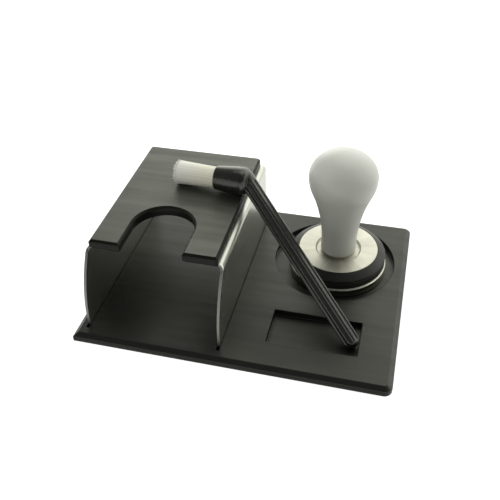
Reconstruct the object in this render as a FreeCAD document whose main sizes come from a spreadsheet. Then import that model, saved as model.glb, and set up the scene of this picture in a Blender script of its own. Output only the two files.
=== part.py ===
import FreeCAD, Part
import math
import os
import Sketcher
from FreeCAD import Placement, Rotation, Vector

os.makedirs("parts", exist_ok=True)
doc = FreeCAD.newDocument("tamping_station")

# Driving sizes, in millimetres and degrees. The origin is the middle of the mat's underside,
# X runs along the mat to the right, Y to the back and Z up.
sizes = doc.addObject("Spreadsheet::Sheet", "Sizes")
drivingSizes = {
    # base mat
    "mat_length": 175,
    "mat_width": 137,
    "mat_thick": 5.2,
    "mat_corner": 4.5,
    "mat_bevel_width": 2.7,
    "mat_bevel_height": 1.8,
    "recess_depth": 3.7,
    "recess_margin": 7.2,
    "round_recess_y": 26,
    "round_recess_dia": 72.6,
    "tray_length": 49.6,
    "tray_width": 25,
    "tray_shift": 2.05,
    # portafilter stand
    "stand_margin": 5.4,
    "stand_gap": 12.8,
    "stand_y": 4.15,
    "stand_top": 50,
    "sheet_thick": 1.5,
    "bend_radius": 3,
    "foot_reach": 15.15,
    "foot_straight": 2.8,
    "groove_depth": 3,
    "groove_gap": 0.15,
    "groove_run": 3,
    "pad_side_inset": 2.8,
    "pad_shift": -0.3,
    "pad_length": 98.1,
    "pad_thick": 5,
    "pad_corner": 2,
    "pad_bevel_width": 1.2,
    "pad_bevel_height": 1.2,
    "front_setback": 1.4,
    "back_inset": 0.25,
    "slot_width": 36.3,
    "slot_straight": 19.85,
    "slot_shift": -1.25,
    "slot_margin": 0.15,
    # tamper
    "tamper_shift_x": 1.9,
    "tamper_shift_y": -0.7,
    "tamper_dia": 58,
    "tamper_chamfer": 0.7,
    "disc_height": 5.9,
    "base_height": 14.6,
    "cap_dia": 47,
    "dish_dia": 27.4,
    "dish_depth": 1.4,
    "dish_slope": 1,
    "ring_dia": 56.6,
    "ring_wall": 5.9,
    "ring_gap": 0.1,
    "ring_land": 0.4,
    "ring_groove": 0.7,
    "ring_groove_level": 4.5,
    "handle_height": 66.6,
    "foot_dia": 20.8,
    "foot_height": 5.5,
    "foot_chamfer": 0.5,
    "bulb_dia": 39,
    "crown_rise": 15.9,
    "bulb_round": 24,
    "shoulder_round": 13,
    "stud_dia": 8,
    "stud_gap": 0.1,
    "stud_in_base": 9,
    "stud_in_handle": 20,
    "stud_chamfer": 0.8,
    # brush
    "rest_margin": 0.2,
    "elbow_back": 9.25,
    "elbow_radius": 8.4,
    "mouth_radius": 6.9,
    "head_back": 0.6,
    "head_shoulder": 4.4,
    "head_length": 19.6,
    "head_azimuth": 174,
    "socket_radius": 6.2,
    "socket_depth": 8,
    "grip_reach": 103.45,
    "grip_start": 3,
    "grip_azimuth": -37.6,
    "grip_dia": 9.6,
    "grip_end_gap": 0.1,
    "flute_count": 8,
    "flute_radius": 1.8,
    "flute_depth": 0.6,
    "flute_turn": -11,
    "flute_start": 7,
    "bristle_length": 25,
    "bristle_tip_radius": 6.8,
    "bristle_gap": 0.1,
    # how far a cut starts outside what it cuts
    "cut_clear": 5,
}
levelWithin = 0.01
for row, (name, number) in enumerate(drivingSizes.items(), start=1):
    sizes.set("A%d" % row, name)
    sizes.set("B%d" % row, str(number))
    sizes.setAlias("B%d" % row, name)
doc.recompute()


def value(expression):
    """The number that an expression on the sheet has now."""
    return float(sizes.evalExpression(expression))


def makeBody(name, x="0", y="0", z="0"):
    """A body with its own label, standing at x, y, z."""
    body = doc.addObject("PartDesign::Body", name)
    body.Label = name
    for axis, expression in zip("xyz", (x, y, z)):
        body.setExpression("Placement.Base." + axis, expression)
    return body


def addSketch(body, name, role, x="0", y="0", z="0"):
    """A sketch on one of the body's own origin planes, shifted along the plane and off it."""
    sketch = body.newObject("Sketcher::SketchObject", name)
    plane = [feature for feature in body.Origin.OriginFeatures if feature.Role == role][0]
    sketch.AttachmentSupport = [(plane, "")]
    sketch.MapMode = "FlatFace"
    for axis, expression in zip("xyz", (x, y, z)):
        sketch.setExpression("AttachmentOffset.Base." + axis, expression)
    return sketch


def bindConstraint(sketch, constraint, name, expression):
    """Adds a named constraint and ties it to an expression."""
    index = sketch.addConstraint(constraint)
    sketch.renameConstraint(index, name)
    sketch.setExpression("Constraints." + name, expression)


def holdPoint(sketch, edge, end, name, x, y):
    """Holds one end of an edge at x, y from the sketch's origin."""
    for kind, axisLine, expression in (("DistanceX", -2, x), ("DistanceY", -1, y)):
        if expression == "0":
            sketch.addConstraint(Sketcher.Constraint("PointOnObject", edge, end, axisLine))
        else:
            start = Sketcher.Constraint(kind, -1, 1, edge, end, value(expression))
            bindConstraint(sketch, start, name + "_" + kind[-1].lower() + "_at", expression)


def arcBetween(start, end, radius, turnsLeft):
    """The shorter arc of a radius from start to end, with its centre to the left or the right."""
    chord = end - start
    rise = math.sqrt(max(radius ** 2 - chord.Length ** 2 / 4, 0))
    side = Vector(-chord.y, chord.x, 0).normalize() * (rise if turnsLeft else -rise)
    centre = (start + end) / 2 + side
    first, last = (start, end) if turnsLeft else (end, start)
    angles = [math.atan2(point.y - centre.y, point.x - centre.x) for point in (first, last)]
    if angles[1] <= angles[0]:
        angles[1] += 2 * math.pi
    return Part.ArcOfCircle(Part.Circle(centre, Vector(0, 0, 1), radius), *angles)


def drawOutline(sketch, corners):
    """A closed outline through corners (x, y), or (x, y, radius, turnsLeft) where an arc leads to it."""
    points = [Vector(value(corner[0]), value(corner[1]), 0) for corner in corners]
    ends = []
    for index, corner in enumerate(corners):
        if len(corner) == 2:
            sketch.addGeometry(Part.LineSegment(points[index - 1], points[index]), False)
            ends.append((1, 2))
        else:
            radius, turnsLeft = corner[2:]
            arc = arcBetween(points[index - 1], points[index], value(radius), turnsLeft)
            sketch.addGeometry(arc, False)
            ends.append((1, 2) if turnsLeft else (2, 1))
    for index, corner in enumerate(corners):
        last = (index - 1) % len(corners)
        sketch.addConstraint(Sketcher.Constraint("Coincident", last, ends[last][1], index, ends[index][0]))
        holdPoint(sketch, index, ends[index][1], "corner_%d" % index, corner[0], corner[1])
        if len(corner) == 4:
            radius = Sketcher.Constraint("Radius", index, value(corner[2]))
            bindConstraint(sketch, radius, "round_%d" % index, corner[2])


def drawRectangle(sketch, left, right, front, back):
    """A rectangle between two X and two Y values."""
    drawOutline(sketch, [(left, front), (right, front), (right, back), (left, back)])


def drawCircle(sketch, radius, x="0", y="0"):
    """A circle about x, y."""
    centre = Vector(value(x), value(y), 0)
    circle = sketch.addGeometry(Part.Circle(centre, Vector(0, 0, 1), value(radius)), False)
    bindConstraint(sketch, Sketcher.Constraint("Radius", circle, value(radius)), "circle_radius", radius)
    if x == "0" and y == "0":
        sketch.addConstraint(Sketcher.Constraint("Coincident", circle, 3, -1, 1))
    else:
        holdPoint(sketch, circle, 3, "centre", x, y)


def addPad(body, sketch, length):
    """Material from the sketch along its normal."""
    pad = body.newObject("PartDesign::Pad", sketch.Name + "_pad")
    pad.Profile = sketch
    pad.setExpression("Length", length)
    return pad


def addPocket(body, sketch, depth):
    """A cut from the sketch against its normal, which must take material away."""
    doc.recompute()
    before = body.Shape.Volume
    pocket = body.newObject("PartDesign::Pocket", sketch.Name + "_pocket")
    pocket.Profile = sketch
    pocket.setExpression("Length", depth)
    doc.recompute()
    if body.Shape.Volume >= before:
        raise RuntimeError(pocket.Name + " cuts nothing")
    return pocket


def addRevolution(body, sketch, axis):
    """A full turn of the sketch about one of its own axes."""
    revolution = body.newObject("PartDesign::Revolution", sketch.Name + "_turned")
    revolution.Profile = sketch
    revolution.ReferenceAxis = (sketch, [axis])
    revolution.Angle = 360
    return revolution


def dressEdges(body, base, kind, name, test, **dimensions):
    """A fillet or chamfer on the edges of the last feature that pass the test."""
    doc.recompute()
    feature = body.newObject("PartDesign::" + kind, name)
    edges = ["Edge%d" % (index + 1) for index, edge in enumerate(base.Shape.Edges) if test(edge)]
    feature.Base = (base, edges)
    for key, expression in dimensions.items():
        feature.setExpression(key, expression)
    return feature


def isUpright(edge):
    """True for a straight edge along Z."""
    return edge.BoundBox.XLength + edge.BoundBox.YLength < levelWithin < edge.BoundBox.ZLength


def bevelTop(body, base, height, piece):
    """The flat bevel round the top face of a rubber sheet."""
    bevel = dressEdges(body, base, "Chamfer", base.Name + "_bevel",
                       lambda edge: edge.BoundBox.ZMin > value(height) - levelWithin)
    bevel.ChamferType = "Two distances"
    bevel.setExpression("Size", "Sizes.%s_bevel_height" % piece)
    bevel.setExpression("Size2", "Sizes.%s_bevel_width" % piece)
    doc.recompute()
    top = [face for face in bevel.Shape.Faces if face.BoundBox.ZMin > value(height) - levelWithin][0]
    narrowed = base.Shape.BoundBox.XLength - top.BoundBox.XLength
    if abs(narrowed - 2 * value("Sizes.%s_bevel_width" % piece)) > levelWithin:
        bevel.FlipDirection = True
    return bevel


# Lines that more than one piece is seated on. The stand takes the mat's length that the round
# recess, the margins and the gap between them leave free.
bracketWidth = ("(Sizes.mat_length - Sizes.stand_margin - Sizes.stand_gap - Sizes.round_recess_dia"
                " - Sizes.recess_margin)")
standX = "(Sizes.stand_margin + %s / 2 - Sizes.mat_length / 2)" % bracketWidth
padX = "(%s + Sizes.pad_shift)" % standX
padWidth = "(%s - 2 * Sizes.pad_side_inset)" % bracketWidth
recessX = "(Sizes.mat_length / 2 - Sizes.recess_margin - Sizes.round_recess_dia / 2)"
bracketFront = "(Sizes.pad_length / 2 - Sizes.front_setback)"
bracketBack = "(Sizes.pad_length / 2 - Sizes.back_inset)"
footFront = "(%s + Sizes.foot_reach)" % bracketFront
recessFloor = "(Sizes.mat_thick - Sizes.recess_depth)"
padTop = "(Sizes.stand_top + Sizes.pad_thick)"
tamperX = "%s + Sizes.tamper_shift_x" % recessX
tamperY = "Sizes.round_recess_y + Sizes.tamper_shift_y"

# The brush rests on the pad with its elbow and the tips of its bristles, and the end of its grip
# lies in the tray. The head leans by the fall from the elbow's radius to that of the tips.
headFall = "(Sizes.elbow_radius - Sizes.bristle_tip_radius)"
taperStart = "(Sizes.head_shoulder - Sizes.head_back)"
restRun = "(Sizes.head_length + Sizes.bristle_length - %s)" % taperStart
padEdge = "(%s + %s / 2 - Sizes.pad_bevel_width)" % (padX, padWidth)
elbowX = "(%s - Sizes.rest_margin - %s * cos(Sizes.head_azimuth))" % (padEdge, taperStart)
elbowY = "(Sizes.stand_y + Sizes.elbow_back)"
elbowRest = "(Sizes.elbow_radius * %s + %s * %s)" % (restRun, headFall, taperStart)
elbowZ = "(%s + %s / sqrt(%s^2 + %s^2))" % (padTop, elbowRest, restRun, headFall)
gripDrop = "(%s - %s - Sizes.grip_dia / 2)" % (elbowZ, recessFloor)
gripRun = "sqrt(Sizes.grip_reach^2 - %s^2)" % gripDrop
tipX = "(%s + %s * cos(Sizes.grip_azimuth))" % (elbowX, gripRun)
tipY = "(%s + %s * sin(Sizes.grip_azimuth))" % (elbowY, gripRun)


def buildBaseMat():
    """The rubber mat with a round recess, a tray for the brush and two grooves for the bracket."""
    body = makeBody("base_mat")
    plan = addSketch(body, "mat_plan", "XY_Plane")
    drawRectangle(plan, "-Sizes.mat_length / 2", "Sizes.mat_length / 2",
                  "-Sizes.mat_width / 2", "Sizes.mat_width / 2")
    slab = addPad(body, plan, "Sizes.mat_thick")
    rounded = dressEdges(body, slab, "Fillet", "mat_corners",
                         lambda edge: isUpright(edge) and edge.BoundBox.XMin > 0, Radius="Sizes.mat_corner")
    bevelTop(body, rounded, "Sizes.mat_thick", "mat")

    roundRecess = addSketch(body, "round_recess", "XY_Plane", z="Sizes.mat_thick")
    drawCircle(roundRecess, "Sizes.round_recess_dia / 2", recessX, "Sizes.round_recess_y")
    addPocket(body, roundRecess, "Sizes.recess_depth")

    tray = addSketch(body, "tray", "XY_Plane", z="Sizes.mat_thick")
    trayRight = "%s + Sizes.grip_dia / 2 + Sizes.grip_end_gap" % tipX
    trayMiddle = "%s + Sizes.tray_shift" % tipY
    drawRectangle(tray, trayRight + " - Sizes.tray_length", trayRight,
                  trayMiddle + " - Sizes.tray_width / 2", trayMiddle + " + Sizes.tray_width / 2")
    addPocket(body, tray, "Sizes.recess_depth")

    for side, sign in (("left", "-"), ("right", "+")):
        groove = addSketch(body, side + "_groove", "XY_Plane", z="Sizes.mat_thick")
        wallMiddle = "%s %s (%s - Sizes.sheet_thick) / 2" % (standX, sign, bracketWidth)
        halfWidth = "(Sizes.sheet_thick / 2 + Sizes.groove_gap)"
        drawRectangle(groove, "%s - %s" % (wallMiddle, halfWidth), "%s + %s" % (wallMiddle, halfWidth),
                      "Sizes.stand_y - %s - Sizes.groove_run" % footFront,
                      "Sizes.stand_y + %s + Sizes.groove_run" % bracketBack)
        addPocket(body, groove, "Sizes.groove_depth")
    return body


def slotCorners(halfWidth, front, turn):
    """The U-shaped cut-out: open to the front, with a half-round inner end."""
    left = "Sizes.slot_shift - " + halfWidth
    right = "Sizes.slot_shift + " + halfWidth
    end = "%s + %s" % (turn, halfWidth)
    return [(left, front), (right, front), (right, turn),
            ("Sizes.slot_shift", end, halfWidth, True), (left, turn, halfWidth, True)]


slotTurn = "Sizes.slot_straight - Sizes.pad_length / 2"


def buildStandBracket():
    """One sheet folded to an inverted U, with curved front edges and the cut-out in its top."""
    body = makeBody("stand_bracket", standX, "Sizes.stand_y")
    halfWidth = "%s / 2" % bracketWidth
    block = addSketch(body, "bracket_plan", "XY_Plane", z="Sizes.mat_thick - Sizes.groove_depth")
    drawRectangle(block, "-" + halfWidth, halfWidth, "-" + footFront, bracketBack)
    outer = addPad(body, block, "Sizes.stand_top - Sizes.mat_thick + Sizes.groove_depth")
    folded = dressEdges(body, outer, "Fillet", "outer_folds",
                        lambda edge: edge.BoundBox.ZMin > value("Sizes.stand_top") - levelWithin
                        and edge.BoundBox.XLength < levelWithin,
                        Radius="Sizes.bend_radius")

    doc.recompute()
    hollow = body.newObject("PartDesign::Thickness", "sheet")
    openFaces = ["Face%d" % (index + 1) for index, face in enumerate(folded.Shape.Faces)
                 if face.BoundBox.ZMax < value("Sizes.mat_thick") or face.BoundBox.YLength < levelWithin]
    hollow.Base = (folded, openFaces)
    hollow.Reversed = True
    hollow.Join = "Intersection"
    hollow.setExpression("Value", "Sizes.sheet_thick")

    # The front edge of each wall stands straight for a little and then curves back to the top
    sideCut = addSketch(body, "front_curve", "YZ_Plane", z="%s + Sizes.cut_clear" % halfWidth)
    curveStart = "Sizes.mat_thick + Sizes.foot_straight"
    curveRise = "(Sizes.stand_top - %s)" % curveStart
    curveRadius = "(Sizes.foot_reach^2 + %s^2) / (2 * Sizes.foot_reach)" % curveRise
    clear = "(%s + Sizes.cut_clear)" % footFront
    drawOutline(sideCut, [("-" + footFront, curveStart),
                          ("-" + bracketFront, "Sizes.stand_top", curveRadius, False),
                          ("-" + bracketFront, "Sizes.stand_top + Sizes.cut_clear"),
                          ("-" + clear, "Sizes.stand_top + Sizes.cut_clear"),
                          ("-" + clear, curveStart)])
    addPocket(body, sideCut, "%s + 2 * Sizes.cut_clear" % bracketWidth)

    slot = addSketch(body, "bracket_slot", "XY_Plane", z="Sizes.stand_top")
    drawOutline(slot, slotCorners("(Sizes.slot_width / 2 + Sizes.slot_margin)", "-" + clear, slotTurn))
    addPocket(body, slot, "Sizes.bend_radius")
    return body


def buildStandPad():
    """The bevelled rubber pad glued on the bracket, with the cut-out through it."""
    body = makeBody("stand_pad", standX, "Sizes.stand_y", "Sizes.stand_top")
    plan = addSketch(body, "pad_plan", "XY_Plane")
    drawRectangle(plan, "Sizes.pad_shift - %s / 2" % padWidth, "Sizes.pad_shift + %s / 2" % padWidth,
                  "-Sizes.pad_length / 2", "Sizes.pad_length / 2")
    slab = addPad(body, plan, "Sizes.pad_thick")
    rounded = dressEdges(body, slab, "Fillet", "pad_corners",
                         lambda edge: isUpright(edge) and edge.BoundBox.XMin > 0, Radius="Sizes.pad_corner")
    bevelTop(body, rounded, "Sizes.pad_thick", "pad")
    slot = addSketch(body, "pad_slot", "XY_Plane", z="Sizes.pad_thick")
    front = "-Sizes.pad_length / 2 - Sizes.cut_clear"
    drawOutline(slot, slotCorners("(Sizes.slot_width / 2)", front, slotTurn))
    addPocket(body, slot, "Sizes.pad_thick")
    return body


def buildTamperBase():
    """The turned steel base: a disc, a spigot for the ring, and a dish round the handle's foot."""
    body = makeBody("tamper_base", tamperX, tamperY, recessFloor)
    section = addSketch(body, "base_section", "XZ_Plane")
    discRadius = "Sizes.tamper_dia / 2"
    innerRadius = discRadius + " - Sizes.tamper_chamfer"
    dishFloor = "Sizes.base_height - Sizes.dish_depth"
    studHole = "Sizes.stud_dia / 2 + Sizes.stud_gap"
    drawOutline(section, [
        ("0", "0"),
        (innerRadius, "0"),
        (discRadius, "Sizes.tamper_chamfer"),
        (discRadius, "Sizes.disc_height - Sizes.tamper_chamfer"),
        (innerRadius, "Sizes.disc_height"),
        ("Sizes.cap_dia / 2", "Sizes.disc_height"),
        ("Sizes.cap_dia / 2", "Sizes.base_height"),
        ("Sizes.dish_dia / 2", "Sizes.base_height"),
        ("Sizes.dish_dia / 2 - Sizes.dish_slope", dishFloor),
        ("Sizes.foot_dia / 2", dishFloor),
        ("Sizes.foot_dia / 2", "Sizes.base_height"),
        (studHole, "Sizes.base_height"),
        (studHole, "Sizes.base_height - Sizes.stud_in_base"),
        ("0", "Sizes.base_height - Sizes.stud_in_base")])
    addRevolution(body, section, "V_Axis")
    return body


def buildTamperRing():
    """The black ring pushed over the spigot, sloping up to the steel and grooved round its wall."""
    body = makeBody("tamper_ring", tamperX, tamperY, "%s + Sizes.disc_height" % recessFloor)
    section = addSketch(body, "ring_section", "XZ_Plane")
    bore = "Sizes.cap_dia / 2 + Sizes.ring_gap"
    outer = "Sizes.ring_dia / 2"
    top = "Sizes.base_height - Sizes.disc_height - Sizes.ring_gap"
    drawOutline(section, [
        (bore, "0"),
        (outer, "0"),
        (outer, "Sizes.ring_groove_level - Sizes.ring_groove / 2"),
        (outer + " - Sizes.ring_groove", "Sizes.ring_groove_level"),
        (outer, "Sizes.ring_groove_level + Sizes.ring_groove / 2"),
        (outer, "Sizes.ring_wall"),
        (bore + " + Sizes.ring_land", top),
        (bore, top)])
    addRevolution(body, section, "V_Axis")
    return body


def buildTamperHandle():
    """The turned bulb handle: a straight foot, a long hollow curve and a rounded head."""
    body = makeBody("tamper_handle", tamperX, tamperY, "%s + Sizes.base_height" % recessFloor)
    section = addSketch(body, "handle_section", "XZ_Plane")
    footRadius = value("Sizes.foot_dia / 2")
    footTop = value("Sizes.foot_height")
    bulbRadius = value("Sizes.bulb_dia / 2")
    height = value("Sizes.handle_height")
    crownRise = value("Sizes.crown_rise")
    level = height - crownRise
    bulbRound = value("Sizes.bulb_round")
    shoulderRound = value("Sizes.shoulder_round")
    holeRadius = value("Sizes.stud_dia / 2 + Sizes.stud_gap")
    holeTop = value("Sizes.stud_in_handle")

    # The hollow curve touches the foot's line and the bulb's lower arc
    bulbCentre = Vector(bulbRadius - bulbRound, level, 0)
    reach = footRadius - bulbCentre.x
    rise = level - footTop
    neckRound = (reach ** 2 + rise ** 2 - bulbRound ** 2) / (2 * (bulbRound - reach))
    neckCentre = Vector(footRadius + neckRound, footTop, 0)
    touch = bulbCentre + (neckCentre - bulbCentre).normalize() * bulbRound
    # The crown is an arc about the axis, which the shoulder's arc touches from inside
    shoulderCentre = Vector(bulbRadius - shoulderRound, level, 0)
    crownRound = ((shoulderCentre.x ** 2 + crownRise ** 2 - shoulderRound ** 2)
                  / (2 * (crownRise - shoulderRound)))
    crownCentre = Vector(0, height - crownRound, 0)
    meet = crownCentre + (shoulderCentre - crownCentre).normalize() * crownRound

    edges = [
        Part.LineSegment(Vector(holeRadius, 0, 0), Vector(footRadius, 0, 0)),
        Part.LineSegment(Vector(footRadius, 0, 0), Vector(footRadius, footTop, 0)),
        arcBetween(Vector(footRadius, footTop, 0), touch, neckRound, False),
        arcBetween(touch, Vector(bulbRadius, level, 0), bulbRound, True),
        arcBetween(Vector(bulbRadius, level, 0), meet, shoulderRound, True),
        arcBetween(meet, Vector(0, height, 0), crownRound, True),
        Part.LineSegment(Vector(0, height, 0), Vector(0, holeTop, 0)),
        Part.LineSegment(Vector(0, holeTop, 0), Vector(holeRadius, holeTop, 0)),
        Part.LineSegment(Vector(holeRadius, holeTop, 0), Vector(holeRadius, 0, 0)),
    ]
    neck = 2
    ends = [(2, 1) if index == neck else (1, 2) for index in range(len(edges))]
    for edge in edges:
        section.addGeometry(edge, False)
    for index in range(len(edges)):
        last = (index - 1) % len(edges)
        kind = "Tangent" if neck <= index <= neck + 3 else "Coincident"
        section.addConstraint(Sketcher.Constraint(kind, last, ends[last][1], index, ends[index][0]))
    hole = "Sizes.stud_dia / 2 + Sizes.stud_gap"
    holdPoint(section, 0, 1, "hole", hole, "0")
    holdPoint(section, 0, 2, "foot", "Sizes.foot_dia / 2", "0")
    holdPoint(section, 1, 2, "neck", "Sizes.foot_dia / 2", "Sizes.foot_height")
    holdPoint(section, 3, 2, "bulb", "Sizes.bulb_dia / 2", "Sizes.handle_height - Sizes.crown_rise")
    holdPoint(section, 5, 2, "crown", "0", "Sizes.handle_height")
    holdPoint(section, 6, 2, "hole_end", "0", "Sizes.stud_in_handle")
    holdPoint(section, 7, 2, "hole_top", hole, "Sizes.stud_in_handle")
    bindConstraint(section, Sketcher.Constraint("Radius", 3, bulbRound), "lower_round", "Sizes.bulb_round")
    bindConstraint(section, Sketcher.Constraint("Radius", 4, shoulderRound), "upper_round",
                   "Sizes.shoulder_round")
    section.addConstraint(Sketcher.Constraint("PointOnObject", 5, 3, -2))
    turned = addRevolution(body, section, "V_Axis")
    dressEdges(body, turned, "Chamfer", "foot_edge",
               lambda edge: edge.BoundBox.ZMax < levelWithin
               and edge.BoundBox.XLength > value("Sizes.foot_dia") - levelWithin,
               Size="Sizes.foot_chamfer")
    return body


def buildTamperStud():
    """The threaded stud that holds the handle on the base."""
    body = makeBody("tamper_stud", tamperX, tamperY,
                    "%s + Sizes.base_height - Sizes.stud_in_base" % recessFloor)
    section = addSketch(body, "stud_section", "XY_Plane")
    drawCircle(section, "Sizes.stud_dia / 2")
    rod = addPad(body, section, "Sizes.stud_in_base + Sizes.stud_in_handle")
    dressEdges(body, rod, "Chamfer", "stud_ends",
               lambda edge: edge.BoundBox.ZLength < levelWithin, Size="Sizes.stud_chamfer")
    return body


def brushDirections():
    """The elbow's place, and unit vectors along the grip and from the elbow to the bristles."""
    elbow = Vector(value(elbowX), value(elbowY), value(elbowZ))
    tip = Vector(value(tipX), value(tipY), value(recessFloor) + value("Sizes.grip_dia / 2"))
    tilt = math.atan2(value(headFall), value(restRun))
    azimuth = math.radians(value("Sizes.head_azimuth"))
    head = Vector(math.cos(azimuth) * math.cos(tilt), math.sin(azimuth) * math.cos(tilt), -math.sin(tilt))
    return elbow, (tip - elbow).normalize(), head


def buildBrushHandle():
    """The moulded head with its socket, the elbow, and the fluted grip with a round end."""
    elbow, grip, head = brushDirections()
    body = doc.addObject("PartDesign::Body", "brush_handle")
    body.Label = "brush_handle"

    # The head: a taper with a rounded back and a socket for the bristles
    bend = math.degrees(grip.getAngle(head))
    section = addSketch(body, "head_section", "XZ_Plane")
    section.AttachmentOffset = Placement(Vector(0, 0, 0), Rotation(Vector(0, 0, 1), bend))
    drawOutline(section, [
        ("-Sizes.head_back", "0"),
        ("Sizes.head_length - Sizes.socket_depth", "0"),
        ("Sizes.head_length - Sizes.socket_depth", "Sizes.socket_radius"),
        ("Sizes.head_length", "Sizes.socket_radius"),
        ("Sizes.head_length", "Sizes.mouth_radius"),
        (taperStart, "Sizes.elbow_radius"),
        ("-Sizes.head_back", "Sizes.elbow_radius - Sizes.head_shoulder", "Sizes.head_shoulder", True)])
    addRevolution(body, section, "H_Axis")

    # The grip: a bar with half-round ends that starts inside the head, then flutes all round it
    bar = addSketch(body, "grip_section", "XZ_Plane")
    radius = "(Sizes.grip_dia / 2)"
    drawOutline(bar, [("-Sizes.grip_start - " + radius, "0", radius, True),
                      ("Sizes.grip_reach + " + radius, "0"),
                      ("Sizes.grip_reach", radius, radius, True),
                      ("-Sizes.grip_start", radius)])
    addRevolution(body, bar, "H_Axis")
    flute = addSketch(body, "flute", "YZ_Plane", z="Sizes.grip_reach + Sizes.grip_dia")
    offAxis = "(%s + Sizes.flute_radius - Sizes.flute_depth)" % radius
    drawCircle(flute, "Sizes.flute_radius", "%s * cos(Sizes.flute_turn)" % offAxis,
               "%s * sin(Sizes.flute_turn)" % offAxis)
    cut = addPocket(body, flute, "Sizes.grip_reach + Sizes.grip_dia - Sizes.flute_start")
    flutes = body.newObject("PartDesign::PolarPattern", "flutes")
    flutes.Originals = [cut]
    flutes.Axis = (flute, ["N_Axis"])
    flutes.Angle = 360
    flutes.setExpression("Occurrences", "Sizes.flute_count")
    body.Tip = flutes
    doc.recompute()

    across = (head - grip * head.dot(grip)).normalize()
    body.Placement = Placement(elbow, Rotation(grip, across.cross(grip), across, "XYZ"))
    return body


def buildBristles():
    """The bundle of bristles, straight in the socket and spreading out to its tips."""
    elbow, _, head = brushDirections()
    body = doc.addObject("PartDesign::Body", "brush_bristles")
    body.Label = "brush_bristles"
    section = addSketch(body, "bundle_section", "XZ_Plane")
    root = "Sizes.head_length - Sizes.socket_depth"
    tips = "Sizes.head_length + Sizes.bristle_length"
    bundleRadius = "Sizes.socket_radius - Sizes.bristle_gap"
    drawOutline(section, [
        (root, "0"),
        (tips, "0"),
        (tips, "Sizes.bristle_tip_radius"),
        ("Sizes.head_length", bundleRadius),
        (root, bundleRadius)])
    addRevolution(body, section, "H_Axis")
    up = Vector(0, 0, 1)
    across = (up - head * up.dot(head)).normalize()
    body.Placement = Placement(elbow, Rotation(head, across.cross(head), across, "XYZ"))
    return body


bodies = [
    buildBaseMat(),
    buildStandBracket(),
    buildStandPad(),
    buildTamperBase(),
    buildTamperRing(),
    buildTamperHandle(),
    buildTamperStud(),
    buildBrushHandle(),
    buildBristles(),
]
doc.recompute()

for item in doc.Objects:
    if "Invalid" in item.State or "Error" in item.State:
        raise RuntimeError("%s failed: %s" % (item.Name, item.State))
for body in bodies:
    shape = body.Shape
    if shape.isNull() or not shape.isValid() or len(shape.Solids) != 1:
        raise RuntimeError("%s isn't one valid solid" % body.Label)
for body in bodies:
    body.Shape.exportStep("parts/%s.step" % body.Label)
    print("%-16s %9.1f mm3" % (body.Label, body.Shape.Volume))
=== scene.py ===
import math
import bmesh
import bpy
import numpy as np
from mathutils import Matrix, Vector
from mathutils.geometry import tessellate_polygon


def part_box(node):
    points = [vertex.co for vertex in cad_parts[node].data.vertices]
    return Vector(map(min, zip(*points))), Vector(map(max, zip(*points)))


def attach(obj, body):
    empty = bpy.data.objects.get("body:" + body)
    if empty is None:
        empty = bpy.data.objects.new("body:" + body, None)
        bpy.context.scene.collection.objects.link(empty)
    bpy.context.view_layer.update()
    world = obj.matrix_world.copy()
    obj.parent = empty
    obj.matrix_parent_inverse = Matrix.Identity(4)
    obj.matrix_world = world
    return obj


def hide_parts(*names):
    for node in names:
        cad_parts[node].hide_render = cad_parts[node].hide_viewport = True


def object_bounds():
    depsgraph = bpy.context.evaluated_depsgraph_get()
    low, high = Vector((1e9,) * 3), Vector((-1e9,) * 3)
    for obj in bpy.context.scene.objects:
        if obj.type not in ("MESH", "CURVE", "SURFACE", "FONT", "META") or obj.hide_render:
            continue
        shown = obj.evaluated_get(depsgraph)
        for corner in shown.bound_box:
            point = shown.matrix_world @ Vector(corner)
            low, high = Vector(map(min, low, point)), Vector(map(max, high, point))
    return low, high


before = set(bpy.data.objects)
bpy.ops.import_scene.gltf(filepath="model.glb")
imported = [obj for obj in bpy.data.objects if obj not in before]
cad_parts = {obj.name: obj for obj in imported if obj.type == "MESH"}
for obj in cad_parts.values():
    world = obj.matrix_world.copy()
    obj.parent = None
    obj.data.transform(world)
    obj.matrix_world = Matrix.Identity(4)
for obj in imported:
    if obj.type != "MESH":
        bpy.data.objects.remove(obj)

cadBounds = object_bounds()
mm = 0.001
scene = bpy.context.scene
scene.view_settings.view_transform = "Standard"


def linkObject(name, data):
    added = bpy.data.objects.new(name, data)
    scene.collection.objects.link(added)
    return added


# The camera, where the photograph was taken from
cameraView = {
    "place": (77.24 * mm, -299.5 * mm, 284.21 * mm),
    "turnLeft": 15.62,      # degrees about the vertical, from looking straight back
    "tiltDown": 39.06,
    "roll": -1.99,
    "focalPixels": 692.3,
    "framePixels": 500,
    "centreX": 243.25,      # the lens axis in the frame, pixels from its top left
    "centreY": 240.49,
    "sensor": 36,
    "clipStart": 10 * mm,
}


def placeCamera():
    view = cameraView
    turn, tilt, roll = (math.radians(view[key]) for key in ("turnLeft", "tiltDown", "roll"))
    forward = Vector((-math.sin(turn) * math.cos(tilt), math.cos(turn) * math.cos(tilt), -math.sin(tilt)))
    levelRight = Vector((math.cos(turn), math.sin(turn), 0))
    levelUp = levelRight.cross(forward)
    right = math.cos(roll) * levelRight + math.sin(roll) * levelUp
    up = math.cos(roll) * levelUp - math.sin(roll) * levelRight
    data = bpy.data.cameras.new("photoCamera")
    data.sensor_width = view["sensor"]
    data.lens = view["focalPixels"] / view["framePixels"] * view["sensor"]
    data.shift_x = 0.5 - view["centreX"] / view["framePixels"]
    data.shift_y = view["centreY"] / view["framePixels"] - 0.5
    data.clip_start = view["clipStart"]
    camera = linkObject("photoCamera", data)
    turned = Matrix((right, up, -forward)).transposed().to_4x4()
    camera.matrix_world = Matrix.Translation(view["place"]) @ turned
    scene.camera = camera


placeCamera()
print("camera placed")


# Shape tools that several pieces use

def boxOf(node):
    low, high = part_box(node)
    return np.array(low), np.array(high)


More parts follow.
